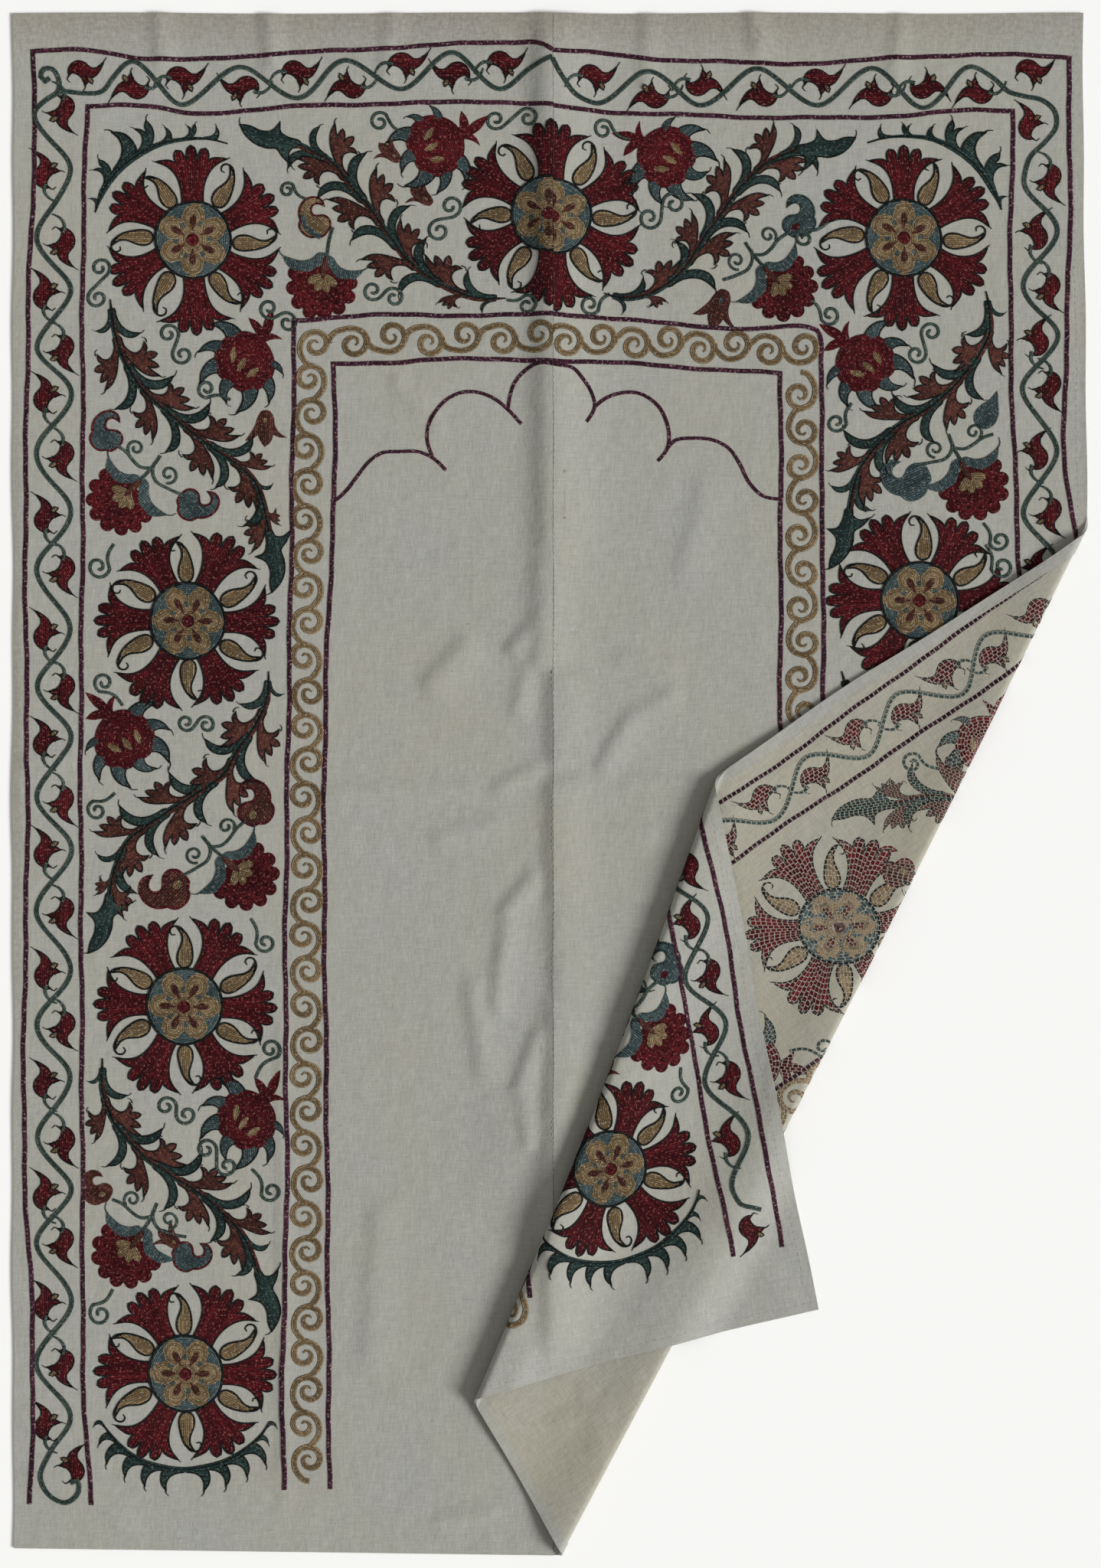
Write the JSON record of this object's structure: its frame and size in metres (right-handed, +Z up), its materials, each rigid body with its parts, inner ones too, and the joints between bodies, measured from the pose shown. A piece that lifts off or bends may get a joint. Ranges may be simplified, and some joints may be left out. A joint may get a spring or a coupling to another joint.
{
  "type": "suzani embroidered textile",
  "caption": "Hand-embroidered cotton cloth of joined loom-width panels, with a flowered border and an open field, lying flat with a lower corner folded in and back out.",
  "frame": {"origin": "under the middle of the cloth, on the surface that it lies on", "axes": "+Z up, +Y towards the cloth's whole end edge, along the centre seam, +X towards the side whose lower corner is folded"},
  "size_m": [1.0088, 1.4496, 0.0236],
  "materials": {
    "cotton_ground": "plain-woven unbleached cotton, matt, soft creases",
    "red_silk": "chain stitch in floss silk, low sheen",
    "gold_silk": "chain stitch in floss silk, low sheen",
    "green_silk": "chain stitch in floss silk, low sheen",
    "blue_silk": "chain stitch in floss silk, low sheen",
    "brown_silk": "chain stitch in floss silk, low sheen",
    "maroon_silk": "chain stitch lines, low sheen",
    "dark_silk": "fine outlines in chain stitch"
  },
  "bodies": {
    "root": {"left_panel": "cotton_ground", "right_panel": "cotton_ground"}
  },
  "joints": []
}
